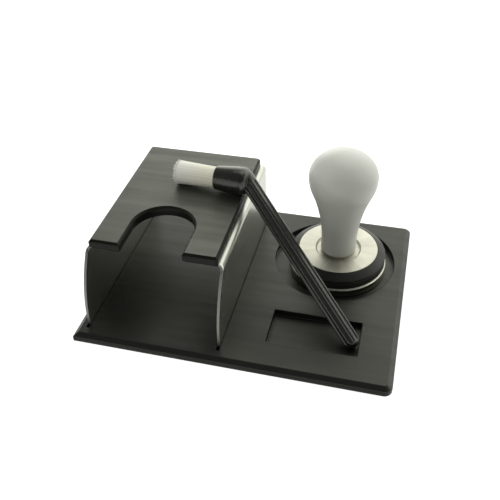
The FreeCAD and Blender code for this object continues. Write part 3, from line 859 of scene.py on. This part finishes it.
brushSizes = {
    "elbowRadius": 8.4 * mm,
    "headBack": 0.6 * mm,
    "headShoulder": 4.4 * mm,
    "headLength": 19.6 * mm,
    "headAzimuth": 174,
    "taperStart": 4 * mm,        # after the shoulder, with the drop it has there
    "taperDrop": 0.3 * mm,
    "taperRound": 6 * mm,
    "mouthRadius": 6.9 * mm,
    "mouthRound": 0.45 * mm,
    "socketRadius": 6.2 * mm,
    "socketDepth": 8 * mm,
    "socketRound": 0.2 * mm,
    "headSegments": 96,
    "gripReach": 103.45 * mm,
    "gripStart": 3 * mm,
    "gripAzimuth": -37.6,
    "gripRadius": 4.8 * mm,
    "gripSegments": 192,
    "gripRows": (12, 400, 24),   # at the hidden end, along the bar and at the round end
    "fluteCount": 8,
    "fluteRadius": 1.8 * mm,
    "fluteDepth": 0.68 * mm,
    "fluteTurn": -11,
    "fluteRunIn": 2.5 * mm,
    "bristleLength": 25 * mm,
    "tipRadius": 6.8 * mm,
    "voxel": 0.28 * mm,
    "easeFactor": 0.5,
    "easeTimes": 2,
}


# The brush's own axes: the elbow, and unit vectors along the grip and along the head. The head
# leans so that the elbow and the bristles' tips both touch the pad.
def brushAxes():
    sizes = brushSizes
    low, high = boxOf("brush_handle")
    bar = sizes["gripRadius"]
    tip = np.array([high[0] - bar, low[1] + bar, low[2] + bar])
    start = sizes["headShoulder"] - sizes["headBack"]
    run = sizes["headLength"] + sizes["bristleLength"] - start
    fall = sizes["elbowRadius"] - sizes["tipRadius"]
    padTop = boxOf("stand_pad")[1][2]
    elbowHeight = padTop + (sizes["elbowRadius"] * run + fall * start) / math.hypot(run, fall)
    drop = elbowHeight - tip[2]
    reach = math.sqrt(sizes["gripReach"] ** 2 - drop ** 2)
    azimuth = math.radians(sizes["gripAzimuth"])
    elbow = np.array([tip[0] - reach * math.cos(azimuth), tip[1] - reach * math.sin(azimuth), elbowHeight])
    lean, turn = math.atan2(fall, run), math.radians(sizes["headAzimuth"])
    head = np.array([math.cos(turn) * math.cos(lean), math.sin(turn) * math.cos(lean), -math.sin(lean)])
    return elbow, (tip - elbow) / np.linalg.norm(tip - elbow), head


# Two unit vectors square to an axis, the first of them nearest to the hint
def crossAxes(axis, hint):
    first = hint - axis * (axis @ hint)
    first /= np.linalg.norm(first)
    return first, np.cross(axis, first)


# A tube about an axis: radius is a grid of distances from it, one row for each station along it
def tubeGrid(origin, axis, first, second, along, radius, angle):
    return (origin + along[:, None, None] * axis
            + radius[..., None] * (np.cos(angle)[:, None] * first + np.sin(angle)[:, None] * second))


# The head is turned about its own axis, from its flat back over the shoulder and down the taper
# to the mouth, then into the socket
def headPatch(elbow, head, grip):
    sizes = brushSizes
    first, second = crossAxes(head, grip)
    start = sizes["headShoulder"] - sizes["headBack"]
    end, floor = sizes["headLength"], sizes["headLength"] - sizes["socketDepth"]
    profile = roundedLine([
        (-sizes["headBack"], 0, 0),
        (-sizes["headBack"], sizes["elbowRadius"], sizes["headShoulder"]),
        (start + sizes["taperStart"], sizes["elbowRadius"] - sizes["taperDrop"], sizes["taperRound"]),
        (end, sizes["mouthRadius"], sizes["mouthRound"]),
        (end, sizes["socketRadius"], sizes["socketRound"]),
        (floor, sizes["socketRadius"], sizes["socketRound"]),
        (floor, 0, 0)], steps=10)
    radius = np.repeat(profile[:, 1:], sizes["headSegments"], axis=1)
    return gridPatch(tubeGrid(elbow, head, first, second, profile[:, 0], radius,
                              fullTurn(sizes["headSegments"])), wrapColumns=True)


# The grip's section is a circle with round flutes: at each angle the smaller of the bar's radius
# and the distance to the flute's circle. The flutes fade in after the elbow by a smooth step,
# and the half-round end cuts all distances down to zero.
def gripPatch(elbow, grip, head):
    sizes = brushSizes
    first, second = crossAxes(grip, head)
    bar, flute = sizes["gripRadius"], sizes["fluteRadius"]
    reach, hidden = sizes["gripReach"], sizes["gripStart"]
    angle = fullTurn(sizes["gripSegments"])
    step = 2 * math.pi / sizes["fluteCount"]
    offset = (angle - math.radians(sizes["fluteTurn"]) + step / 2) % step - step / 2
    away = bar + flute - sizes["fluteDepth"]
    inside = np.clip(flute ** 2 - (away * np.sin(offset)) ** 2, 0, None)
    scallop = np.minimum(bar, np.where(inside > 0, away * np.cos(offset) - np.sqrt(inside), bar))
    startRows, barRows, endRows = sizes["gripRows"]
    along = np.concatenate([-hidden - bar * np.cos(np.linspace(0, math.pi / 2, startRows)),
                            np.linspace(-hidden, reach, barRows)[1:],
                            reach + bar * np.sin(np.linspace(0, math.pi / 2, endRows)[1:])])
    beyond = np.maximum(along - reach, 0) + np.maximum(-hidden - along, 0)
    cap = np.sqrt(np.clip(bar ** 2 - beyond ** 2, 0, None))
    fade = np.clip(along / sizes["fluteRunIn"], 0, 1)
    fade = fade * fade * (3 - 2 * fade)
    section = np.minimum(bar + fade[:, None] * (scallop - bar)[None], cap[:, None])
    return gridPatch(tubeGrid(elbow, grip, first, second, along, section, angle), wrapColumns=True)


# Head and grip are moulded in one: both shells go through one fine remesh, which joins them
# with a small blend, and a little smoothing takes out the steps
def makeBrushHandle(elbow, grip, head):
    sizes = brushSizes
    handle = weldPiece("brushHandle", [headPatch(elbow, head, grip), gripPatch(elbow, grip, head)])
    join = handle.modifiers.new("moulded", "REMESH")
    join.mode = "VOXEL"
    join.voxel_size = sizes["voxel"]
    ease = handle.modifiers.new("eased", "SMOOTH")
    ease.factor = sizes["easeFactor"]
    ease.iterations = sizes["easeTimes"]
    bpy.context.view_layer.update()
    solved = bpy.data.meshes.new_from_object(handle.evaluated_get(bpy.context.evaluated_depsgraph_get()))
    handle.modifiers.clear()
    handle.data = solved
    solved.polygons.foreach_set("use_smooth", np.ones(len(solved.polygons), bool))
    print("brushHandle", len(solved.polygons), "faces after the remesh")
    seatPiece(handle, "brush_handle",
              blackPlasticMaterial("brushPlastic", **blackPlasticLook["brush"]))


fibreSizes = {
    "count": 1300,
    "thickness": 0.13 * mm,
    "taper": 0.1,
    "rings": 8,
    "sides": 5,
    "socketGap": 0.1 * mm,
    "rootShare": 0.9,        # how much of the socket's depth the fibres fill
    "flarePower": 1.25,      # the bundle widens as this power of the way to the tips
    "tipGather": 0.08,
    "stray": 1.0 * mm,       # how far a tip wanders from its even place
    "strayPower": 5,         # mostly near its end
    "strayLimit": 0.3 * mm,  # past the bundle's edge
    "bow": 0.06 * mm,
    "lengthSpread": 1.3 * mm,
    "lengthPower": 1.5,
    "packed": 1.02,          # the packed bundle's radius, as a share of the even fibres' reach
    "packedShort": 0.9 * mm,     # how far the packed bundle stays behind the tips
    "packedInside": 1 * mm,
    "packedRows": 24,
    "ridges": 84,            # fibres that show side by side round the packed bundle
    "ridgeSteps": 4,
    "ridgeDepth": 0.05 * mm,
    "wander": 0.012,
    "bundleLean": 1.6,
    "tipLean": 1.5,
    "tipLeanPower": 12,
    "upLean": 0.3,           # light that comes down through the fibres brightens their sides
    "sharpAngle": 80,
    "seed": 7,
}

fibreLook = {
    "nearHead": (0.96, 0.93, 0.80),
    "nearTip": (0.99, 0.99, 0.95),
    "warmSpan": (0.3, 1.0),
    "darkest": 0.86,         # each fibre is darkened to a share between this and one
    "rough": 0.6,
    "shine": 0.6,
}


# Pale fibre, a little warmer near the head and whiter at the tips by the map's V, and each
# fibre's own shade by the map's U
def fibreMaterial():
    look = fibreLook
    material, tree, shader = startMaterial(
        "bristleFibre", {"Roughness": look["rough"], "Specular IOR Level": look["shine"]})
    place = addNode(tree, "UVMap", {"uv_map": "fibre"}).outputs["UV"]
    split = addNode(tree, "SeparateXYZ", Vector=place)
    warm = rangeOf(tree, split.outputs["Y"], 0, 1, look["warmSpan"])
    colour = blendColours(tree, warm, look["nearHead"], look["nearTip"])
    each = addNode(tree, "TexWhiteNoise", {"noise_dimensions": "1D"}, W=split.outputs["X"])
    shade = rangeOf(tree, each.outputs["Value"], look["darkest"], 1, (0, 1))
    feed(tree, shader.inputs["Base Color"], blendColours(tree, 1.0, colour, shade, "MULTIPLY"))
    return material


# The bundle's radius in the socket and at the tips
def bundleRadii():
    thickness = fibreSizes["thickness"]
    root = brushSizes["socketRadius"] - fibreSizes["socketGap"] - thickness
    return root, brushSizes["tipRadius"] - thickness


# Each loose fibre is a thin tapered tube. Roots fill the socket as a sunflower's seeds do, the
# n-th at the radius sqrt(n / count) and n golden angles round. The tips keep that order over the
# wider end and stray from it, and half a sine wave of bow sets the fibres apart. They are shaded
# mostly as one bundle: their normals lean away from its axis and upwards, and along it at the tips.
def looseFibres(elbow, head, first, second):
    sizes, fibre = brushSizes, fibreSizes
    chance = np.random.default_rng(fibre["seed"])
    count, rings, sides = fibre["count"], fibre["rings"], fibre["sides"]
    rootRadius, tipRadius = bundleRadii()
    index, ring = np.arange(count), np.arange(rings)
    share, turn = np.sqrt((index + 0.5) / count), index * math.pi * (3 - math.sqrt(5))
    root = np.stack([share * np.cos(turn), share * np.sin(turn)], axis=-1)
    stray = chance.normal(0, fibre["stray"] / 2, (count, 2))
    evenTip = root * tipRadius * (1 - fibre["tipGather"] * chance.random((count, 1)))
    strayTip = evenTip + stray
    reachOut = np.linalg.norm(strayTip, axis=1, keepdims=True)
    strayTip *= np.minimum(1, (tipRadius + fibre["strayLimit"]) / reachOut)
    length = sizes["bristleLength"] - fibre["lengthSpread"] * chance.random(count) ** fibre["lengthPower"]
    bow = chance.normal(0, fibre["bow"], (count, 2))

    # the first ring lies down in the socket, the second at the mouth and the rest beyond it
    station = sizes["headLength"] - sizes["socketDepth"] * fibre["rootShare"] * (1 - np.minimum(ring, 1))
    travel = np.clip((ring - 1) / (rings - 2), 0, 1)
    along = station[None] + travel[None] * length[:, None]
    flare, splay, arch = (shape[None, :, None] for shape in (
        travel ** fibre["flarePower"], travel ** fibre["strayPower"], np.sin(math.pi * travel)))
    across = (root[:, None] * rootRadius + flare * (evenTip - root * rootRadius)[:, None]
              + splay * (strayTip - evenTip)[:, None] + arch * bow[:, None])
    away = across[..., :1] * first + across[..., 1:] * second
    angle = fullTurn(sides)
    own = np.cos(angle)[:, None] * first + np.sin(angle)[:, None] * second
    thin = fibre["thickness"] * (1 - fibre["taper"] * travel)
    centre = elbow + along[..., None] * head + away
    tube = centre[:, :, None] + thin[None, :, None, None] * own

    start = index * rings * sides
    quads = (start[:, None, None] + np.array(gridPatch(tube[0], wrapColumns=True)[1])).reshape(-1, 4)
    tipCaps = start[:, None] + (rings - 1) * sides + np.arange(sides)
    rootCaps = start[:, None] + np.arange(sides)[::-1]
    away /= np.linalg.norm(away, axis=-1, keepdims=True) + 1e-9
    tipLean = fibre["tipLean"] * (travel ** fibre["tipLeanPower"])[None, :, None, None] * head
    lean = fibre["bundleLean"] * away[:, :, None] + own + tipLean + fibre["upLean"] * first
    place = np.empty(tube.shape[:3] + (2,))
    place[..., 0] = (index + 0.5)[:, None, None]
    place[..., 1] = (ring / (rings - 1))[None, :, None]
    return (tube.reshape(-1, 3), quads.tolist() + tipCaps.tolist() + rootCaps.tolist(),
            lean.reshape(-1, 3), place.reshape(-1, 2))


# The packed bundle: a cone with the same flare, ridged by the fibres that lie side by side on
# it. Each ridge is half a sine wave round the axis, and wanders a little along it.
def packedBundle(elbow, head, first, second):
    sizes, fibre = brushSizes, fibreSizes
    rootRadius, tipRadius = bundleRadii()
    ridges, rows, inside = fibre["ridges"], fibre["packedRows"], fibre["packedInside"]
    steps = ridges * fibre["ridgeSteps"]
    around, travel = fullTurn(steps), np.linspace(0, 1, rows)
    reach = sizes["bristleLength"] - fibre["lengthSpread"] - fibre["packedShort"]
    along = sizes["headLength"] - inside + travel * (reach + inside)
    radius = fibre["packed"] * (rootRadius + travel ** fibre["flarePower"] * (tipRadius - rootRadius))
    wander = fibre["wander"] * np.sin(5 * travel[:, None] + 9 * np.sin(7 * around)[None])
    ridge = fibre["ridgeDepth"] * (np.abs(np.sin(ridges / 2 * (around[None] + wander))) - 1)
    grid = tubeGrid(elbow, head, first, second, along, radius[:, None] + ridge, around)
    points, faces = gridPatch(grid, wrapColumns=True)
    faces += [np.arange(steps)[::-1].tolist(), ((rows - 1) * steps + np.arange(steps)).tolist()]
    lean = grid - (elbow + along[:, None, None] * head)
    lean = lean / np.linalg.norm(lean, axis=-1, keepdims=True) + fibre["upLean"] * first
    place = np.empty((rows, steps, 2))
    place[..., 0] = (np.arange(steps) // fibre["ridgeSteps"] + 0.5)[None]
    place[..., 1] = travel[:, None]
    return points, faces, lean.reshape(-1, 3), place.reshape(-1, 2)


def makeBristles(elbow, head):
    first, second = crossAxes(head, np.array([0.0, 0.0, 1.0]))
    loose, packed = looseFibres(elbow, head, first, second), packedBundle(elbow, head, first, second)
    points, normals, places = (np.concatenate([loose[part], packed[part]]) for part in (0, 2, 3))
    start = len(loose[0])
    faces = loose[1] + [[corner + start for corner in face] for face in packed[1]]
    mesh = bpy.data.meshes.new("bristleTuft")
    mesh.from_pydata(points.tolist(), [], faces)
    layer = mesh.uv_layers.new(name="fibre")
    corners = np.empty(len(mesh.loops), int)
    mesh.loops.foreach_get("vertex_index", corners)
    layer.data.foreach_set("uv", places[corners].ravel())
    smoothMesh(mesh, fibreSizes["sharpAngle"])
    normals /= np.linalg.norm(normals, axis=1, keepdims=True)
    mesh.normals_split_custom_set_from_vertices(normals.tolist())
    print("bristleTuft", len(mesh.polygons), "faces")
    seatPiece(linkObject("bristleTuft", mesh), "brush_bristles", fibreMaterial())


elbow, grip, head = brushAxes()
makeBrushHandle(elbow, grip, head)
makeBristles(elbow, head)


studSteelLook = {
    "dark": (0.42, 0.42, 0.41),
    "light": (0.55, 0.55, 0.53),
    "rough": (0.3, 0.45),
    "grainScale": 500,
    "grainStretch": (1, 1, 0.1),
}


def dressStud():
    look = studSteelLook
    material, tree, shader = startMaterial("studSteel", {"Metallic": 1.0})
    grain = noiseValue(tree, look["grainScale"], stretch=look["grainStretch"])
    finishBy(tree, shader, grain, look["dark"], look["light"], look["rough"])
    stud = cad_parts["tamper_stud"]
    stud.data.materials.clear()
    stud.data.materials.append(material)


dressStud()
print("stud dressed")


stageLook = {
    "floorRadius": 3.0,
    "backdropHeight": 1.1,
    "cornerRound": 0.5,
    "cornerSteps": 12,
    "segments": 96,
    "white": (0.72, 0.72, 0.71),
    "glow": 0.84,            # seen by the camera and in reflections, on top of the lit white
    "worldLight": 0.11,
    "lampColour": (1.0, 1.01, 0.93),
    "aim": (0.0, 0.0, 0.02),
}

# Each softbox: where its middle stands, its width and height, its turn about its own axis in
# degrees, its power, and whether it shows in reflections
softboxes = {
    "backSoftbox": ((0.15, 1.15, 0.66), (2.4, 1.02), -13, 14, True),
    "topSoftbox": ((0.1, 0.5, 1.35), (1.4, 0.8), 0, 5.7, True),
    "rightSoftbox": ((1.25, 0.35, 0.6), (1.1, 0.9), 0, 3.9, True),
    "leftFill": ((-1.1, -0.5, 0.9), (1.4, 1.2), 0, 7.5, False),
}


# White paint that the camera and mirror-like surfaces see a little brighter than the lamps
# make it, so that it reads as white and keeps a soft shadow
def stageMaterial():
    look = stageLook
    material = bpy.data.materials.new("stageWhite")
    material.use_nodes = True
    tree = material.node_tree
    tree.nodes.remove(tree.nodes["Principled BSDF"])
    path = addNode(tree, "LightPath")
    seen = path.outputs["Is Camera Ray"]
    for ray in ("Is Glossy Ray", "Is Transmission Ray"):
        seen = mathOf(tree, "MAXIMUM", seen, path.outputs[ray])
    paint = addNode(tree, "BsdfDiffuse", Color=look["white"])
    glow = addNode(tree, "Emission", Color=(1, 1, 1), Strength=mathOf(tree, "MULTIPLY", seen, look["glow"]))
    both = addNode(tree, "AddShader")
    feed(tree, both.inputs[0], paint.outputs[0])
    feed(tree, both.inputs[1], glow.outputs[0])
    feed(tree, tree.nodes["Material Output"].inputs["Surface"], both.outputs[0])
    return material


# A plain white floor with a low white wall round it, one surface turned about the vertical axis:
# the floor's rim climbs into the wall
def makeStage():
    look = stageLook
    bottom, radius = cadBounds[0][2], look["floorRadius"]
    profile = roundedLine([(0, bottom, 0), (radius, bottom, look["cornerRound"]),
                           (radius, bottom + look["backdropHeight"], 0)], steps=look["cornerSteps"])[1:]
    points = turnedRings((0, 0), profile, look["segments"])
    stage = weldPiece("whiteStage", [gridPatch(points[::-1], wrapColumns=True), flatPatch([points[0]])])
    stage.data.materials.append(stageMaterial())


def makeLight():
    look = stageLook
    world = bpy.data.worlds.new("studio")
    scene.world = world
    world.use_nodes = True
    background = world.node_tree.nodes["Background"]
    background.inputs["Color"].default_value = (1, 1, 1, 1)
    background.inputs["Strength"].default_value = look["worldLight"]
    for name, (place, size, roll, power, mirrored) in softboxes.items():
        data = bpy.data.lights.new(name, "AREA")
        data.shape = "RECTANGLE"
        data.size, data.size_y = size
        data.energy = power
        data.color = look["lampColour"]
        softbox = linkObject(name, data)
        place, aim = Vector(place), Vector(look["aim"])
        turned = (aim - place).to_track_quat("-Z", "Y").to_matrix().to_4x4()
        spin = Matrix.Rotation(math.radians(roll), 4, "Z")
        softbox.matrix_world = Matrix.Translation(place) @ turned @ spin
        softbox.visible_glossy = mirrored


makeStage()
makeLight()
print("stage and light placed")
